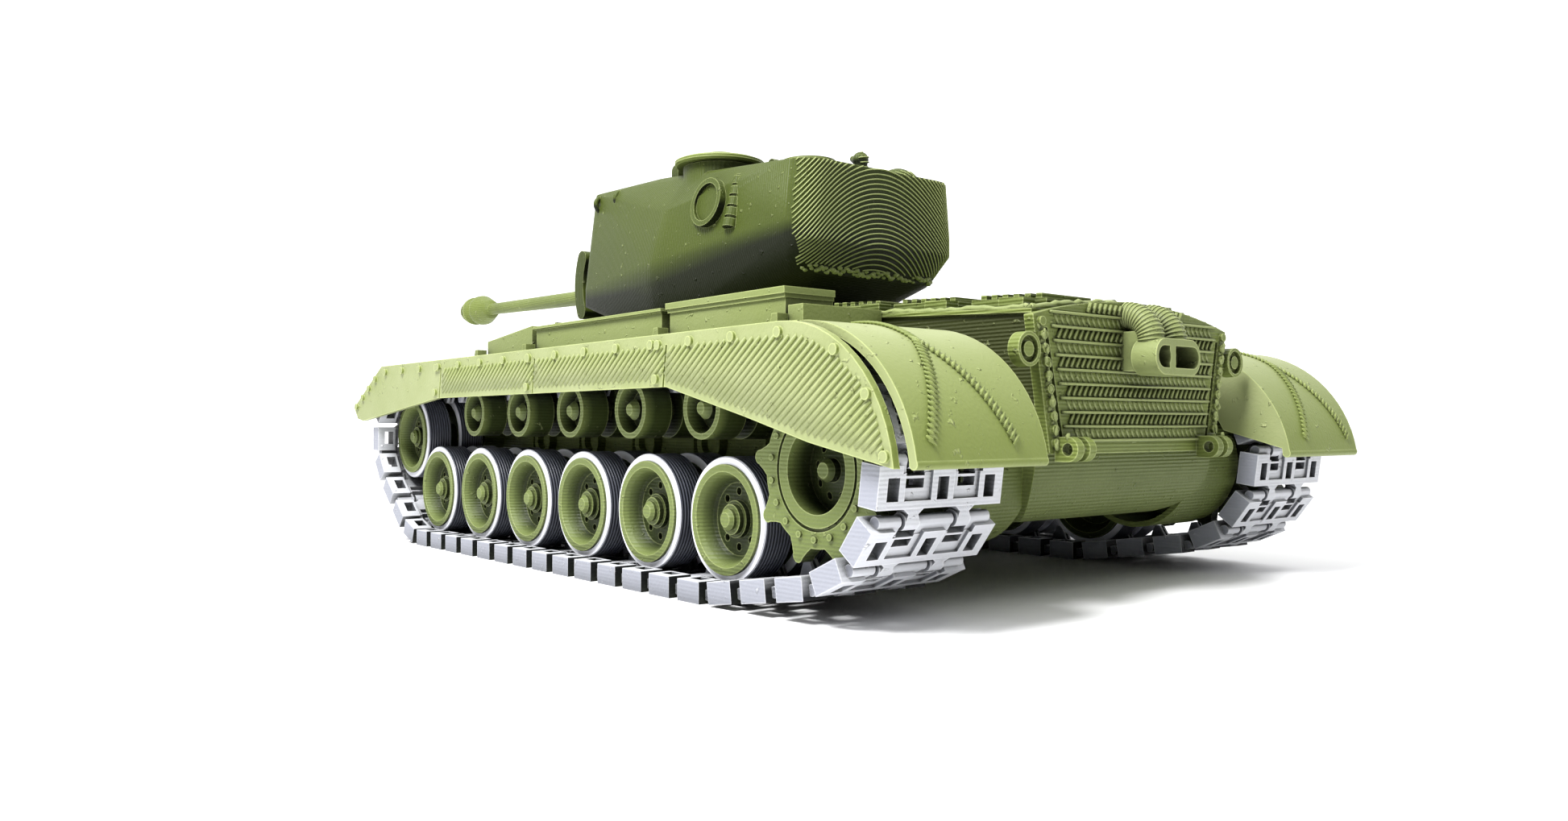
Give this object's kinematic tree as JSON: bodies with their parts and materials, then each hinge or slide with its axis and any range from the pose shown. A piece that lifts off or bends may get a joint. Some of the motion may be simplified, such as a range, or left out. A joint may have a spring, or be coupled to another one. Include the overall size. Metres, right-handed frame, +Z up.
{
  "type": "remote control tank",
  "caption": "Tracked remote control model tank with a rotating turret, elevating gun, hinged hatches, dual road wheels, return rollers and drive sprockets under full fenders.",
  "frame": {"origin": "centre of the whole model's box in plan, on the ground under the tracks", "axes": "+Y towards the rear, the gun points to -Y; +X towards the model's own left side, where the round turret port is; +Z up"},
  "size_m": [0.0862, 0.1879, 0.0611],
  "materials": {
    "olive_plastic": "layered print, satin",
    "shaded_plastic": "layered print, satin",
    "tyre_ring": "printed silver-grey ring, satin",
    "track_links": "printed silver-grey, satin",
    "motor_metal": "plated can",
    "battery_wrap": "shrink wrap",
    "circuit_board": "solder mask"
  },
  "bodies": {
    "hull": {"lower_hull": "shaded_plastic", "upper_hull": "olive_plastic", "engine_deck": "olive_plastic", "rear_plate": "olive_plastic", "left_fender": "olive_plastic", "right_fender": "olive_plastic", "stowage_boxes": "olive_plastic", "exhaust_muffler": "olive_plastic", "swing_arms": "shaded_plastic", "drive_motors": "motor_metal", "battery_pack": "battery_wrap", "control_board": "circuit_board", "left_track": "track_links", "right_track": "track_links"},
    "turret": {"turret_shell": "olive_plastic", "turret_base": "shaded_plastic"},
    "gun": {"gun_mantlet": "olive_plastic", "gun_barrel": "olive_plastic"},
    "cupola_lid": {"cupola_hatch": "olive_plastic"},
    "loader_lid": {"loader_hatch": "olive_plastic"},
    "left_sprocket": {"left_drive_sprocket": "olive_plastic"},
    "left_idler": {"left_idler_wheel": "olive_plastic", "left_idler_tyre": "tyre_ring"},
    "left_wheel_1": {"left_road_wheel_1": "olive_plastic", "left_road_tyre_1": "tyre_ring"},
    "left_wheel_2": {"left_road_wheel_2": "olive_plastic", "left_road_tyre_2": "tyre_ring"},
    "left_wheel_3": {"left_road_wheel_3": "olive_plastic", "left_road_tyre_3": "tyre_ring"},
    "left_wheel_4": {"left_road_wheel_4": "olive_plastic", "left_road_tyre_4": "tyre_ring"},
    "left_wheel_5": {"left_road_wheel_5": "olive_plastic", "left_road_tyre_5": "tyre_ring"},
    "left_wheel_6": {"left_road_wheel_6": "olive_plastic", "left_road_tyre_6": "tyre_ring"},
    "left_roller_1": {"left_return_roller_1": "olive_plastic"},
    "left_roller_2": {"left_return_roller_2": "olive_plastic"},
    "left_roller_3": {"left_return_roller_3": "olive_plastic"},
    "left_roller_4": {"left_return_roller_4": "olive_plastic"},
    "left_roller_5": {"left_return_roller_5": "olive_plastic"},
    "right_sprocket": {"right_drive_sprocket": "olive_plastic"},
    "right_idler": {"right_idler_wheel": "olive_plastic", "right_idler_tyre": "tyre_ring"},
    "right_wheel_1": {"right_road_wheel_1": "olive_plastic", "right_road_tyre_1": "tyre_ring"},
    "right_wheel_2": {"right_road_wheel_2": "olive_plastic", "right_road_tyre_2": "tyre_ring"},
    "right_wheel_3": {"right_road_wheel_3": "olive_plastic", "right_road_tyre_3": "tyre_ring"},
    "right_wheel_4": {"right_road_wheel_4": "olive_plastic", "right_road_tyre_4": "tyre_ring"},
    "right_wheel_5": {"right_road_wheel_5": "olive_plastic", "right_road_tyre_5": "tyre_ring"},
    "right_wheel_6": {"right_road_wheel_6": "olive_plastic", "right_road_tyre_6": "tyre_ring"},
    "right_roller_1": {"right_return_roller_1": "olive_plastic"},
    "right_roller_2": {"right_return_roller_2": "olive_plastic"},
    "right_roller_3": {"right_return_roller_3": "olive_plastic"},
    "right_roller_4": {"right_return_roller_4": "olive_plastic"},
    "right_roller_5": {"right_return_roller_5": "olive_plastic"}
  },
  "joints": [
    {"name": "turret_yaw", "type": "hinge", "parent": "hull", "child": "turret", "pos_m": [0, 0.014, 0.0334], "axis": [0, 0, 1], "continuous": true},
    {"name": "gun_pitch", "type": "hinge", "parent": "turret", "child": "gun", "pos_m": [0, -0.006, 0.04425], "axis": [-1, 0, 0], "range_deg": [-10, 20]},
    {"name": "cupola_hinge", "type": "hinge", "parent": "turret", "child": "cupola_lid", "pos_m": [0.0098, 0.0133, 0.0596], "axis": [1, 0, 0], "range_deg": [0, 95]},
    {"name": "loader_hinge", "type": "hinge", "parent": "turret", "child": "loader_lid", "pos_m": [0.0063, 0.0333, 0.0575], "axis": [1, 0, 0], "range_deg": [0, 95]},
    {"name": "left_drive", "type": "hinge", "parent": "hull", "child": "left_sprocket", "pos_m": [0.03305, 0.0768, 0.0149], "axis": [1, 0, 0], "continuous": true},
    {"name": "left_idler_spin", "type": "hinge", "parent": "hull", "child": "left_idler", "pos_m": [0.03305, -0.0303, 0.0175], "axis": [1, 0, 0], "continuous": true},
    {"name": "left_wheel_1_spin", "type": "hinge", "parent": "hull", "child": "left_wheel_1", "pos_m": [0.03305, -0.0189, 0.009], "axis": [1, 0, 0], "continuous": true},
    {"name": "left_wheel_2_spin", "type": "hinge", "parent": "hull", "child": "left_wheel_2", "pos_m": [0.03305, -0.0029, 0.009], "axis": [1, 0, 0], "continuous": true},
    {"name": "left_wheel_3_spin", "type": "hinge", "parent": "hull", "child": "left_wheel_3", "pos_m": [0.03305, 0.0131, 0.009], "axis": [1, 0, 0], "continuous": true},
    {"name": "left_wheel_4_spin", "type": "hinge", "parent": "hull", "child": "left_wheel_4", "pos_m": [0.03305, 0.0291, 0.009], "axis": [1, 0, 0], "continuous": true},
    {"name": "left_wheel_5_spin", "type": "hinge", "parent": "hull", "child": "left_wheel_5", "pos_m": [0.03305, 0.0451, 0.009], "axis": [1, 0, 0], "continuous": true},
    {"name": "left_wheel_6_spin", "type": "hinge", "parent": "hull", "child": "left_wheel_6", "pos_m": [0.03305, 0.0611, 0.009], "axis": [1, 0, 0], "continuous": true},
    {"name": "left_roller_1_spin", "type": "hinge", "parent": "hull", "child": "left_roller_1", "pos_m": [0.03305, -0.0054, 0.0214], "axis": [1, 0, 0], "continuous": true},
    {"name": "left_roller_2_spin", "type": "hinge", "parent": "hull", "child": "left_roller_2", "pos_m": [0.03305, 0.01, 0.0214], "axis": [1, 0, 0], "continuous": true},
    {"name": "left_roller_3_spin", "type": "hinge", "parent": "hull", "child": "left_roller_3", "pos_m": [0.03305, 0.0254, 0.0214], "axis": [1, 0, 0], "continuous": true},
    {"name": "left_roller_4_spin", "type": "hinge", "parent": "hull", "child": "left_roller_4", "pos_m": [0.03305, 0.0408, 0.0214], "axis": [1, 0, 0], "continuous": true},
    {"name": "left_roller_5_spin", "type": "hinge", "parent": "hull", "child": "left_roller_5", "pos_m": [0.03305, 0.0562, 0.0214], "axis": [1, 0, 0], "continuous": true},
    {"name": "right_drive", "type": "hinge", "parent": "hull", "child": "right_sprocket", "pos_m": [-0.03305, 0.0768, 0.0149], "axis": [1, 0, 0], "continuous": true},
    {"name": "right_idler_spin", "type": "hinge", "parent": "hull", "child": "right_idler", "pos_m": [-0.03305, -0.0303, 0.0175], "axis": [1, 0, 0], "continuous": true},
    {"name": "right_wheel_1_spin", "type": "hinge", "parent": "hull", "child": "right_wheel_1", "pos_m": [-0.03305, -0.0189, 0.009], "axis": [1, 0, 0], "continuous": true},
    {"name": "right_wheel_2_spin", "type": "hinge", "parent": "hull", "child": "right_wheel_2", "pos_m": [-0.03305, -0.0029, 0.009], "axis": [1, 0, 0], "continuous": true},
    {"name": "right_wheel_3_spin", "type": "hinge", "parent": "hull", "child": "right_wheel_3", "pos_m": [-0.03305, 0.0131, 0.009], "axis": [1, 0, 0], "continuous": true},
    {"name": "right_wheel_4_spin", "type": "hinge", "parent": "hull", "child": "right_wheel_4", "pos_m": [-0.03305, 0.0291, 0.009], "axis": [1, 0, 0], "continuous": true},
    {"name": "right_wheel_5_spin", "type": "hinge", "parent": "hull", "child": "right_wheel_5", "pos_m": [-0.03305, 0.0451, 0.009], "axis": [1, 0, 0], "continuous": true},
    {"name": "right_wheel_6_spin", "type": "hinge", "parent": "hull", "child": "right_wheel_6", "pos_m": [-0.03305, 0.0611, 0.009], "axis": [1, 0, 0], "continuous": true},
    {"name": "right_roller_1_spin", "type": "hinge", "parent": "hull", "child": "right_roller_1", "pos_m": [-0.03305, -0.0054, 0.0214], "axis": [1, 0, 0], "continuous": true},
    {"name": "right_roller_2_spin", "type": "hinge", "parent": "hull", "child": "right_roller_2", "pos_m": [-0.03305, 0.01, 0.0214], "axis": [1, 0, 0], "continuous": true},
    {"name": "right_roller_3_spin", "type": "hinge", "parent": "hull", "child": "right_roller_3", "pos_m": [-0.03305, 0.0254, 0.0214], "axis": [1, 0, 0], "continuous": true},
    {"name": "right_roller_4_spin", "type": "hinge", "parent": "hull", "child": "right_roller_4", "pos_m": [-0.03305, 0.0408, 0.0214], "axis": [1, 0, 0], "continuous": true},
    {"name": "right_roller_5_spin", "type": "hinge", "parent": "hull", "child": "right_roller_5", "pos_m": [-0.03305, 0.0562, 0.0214], "axis": [1, 0, 0], "continuous": true}
  ],
  "couplings": [
    {"joint": "left_idler_spin", "follows": "left_drive", "ratio": 1.2032},
    {"joint": "left_wheel_1_spin", "follows": "left_drive", "ratio": 1.2032},
    {"joint": "left_wheel_2_spin", "follows": "left_drive", "ratio": 1.2032},
    {"joint": "left_wheel_3_spin", "follows": "left_drive", "ratio": 1.2032},
    {"joint": "left_wheel_4_spin", "follows": "left_drive", "ratio": 1.2032},
    {"joint": "left_wheel_5_spin", "follows": "left_drive", "ratio": 1.2032},
    {"joint": "left_wheel_6_spin", "follows": "left_drive", "ratio": 1.2032},
    {"joint": "left_roller_1_spin", "follows": "left_drive", "ratio": 2.3396},
    {"joint": "left_roller_2_spin", "follows": "left_drive", "ratio": 2.3396},
    {"joint": "left_roller_3_spin", "follows": "left_drive", "ratio": 2.3396},
    {"joint": "left_roller_4_spin", "follows": "left_drive", "ratio": 2.3396},
    {"joint": "left_roller_5_spin", "follows": "left_drive", "ratio": 2.3396},
    {"joint": "right_idler_spin", "follows": "right_drive", "ratio": 1.2032},
    {"joint": "right_wheel_1_spin", "follows": "right_drive", "ratio": 1.2032},
    {"joint": "right_wheel_2_spin", "follows": "right_drive", "ratio": 1.2032},
    {"joint": "right_wheel_3_spin", "follows": "right_drive", "ratio": 1.2032},
    {"joint": "right_wheel_4_spin", "follows": "right_drive", "ratio": 1.2032},
    {"joint": "right_wheel_5_spin", "follows": "right_drive", "ratio": 1.2032},
    {"joint": "right_wheel_6_spin", "follows": "right_drive", "ratio": 1.2032},
    {"joint": "right_roller_1_spin", "follows": "right_drive", "ratio": 2.3396},
    {"joint": "right_roller_2_spin", "follows": "right_drive", "ratio": 2.3396},
    {"joint": "right_roller_3_spin", "follows": "right_drive", "ratio": 2.3396},
    {"joint": "right_roller_4_spin", "follows": "right_drive", "ratio": 2.3396},
    {"joint": "right_roller_5_spin", "follows": "right_drive", "ratio": 2.3396}
  ]
}
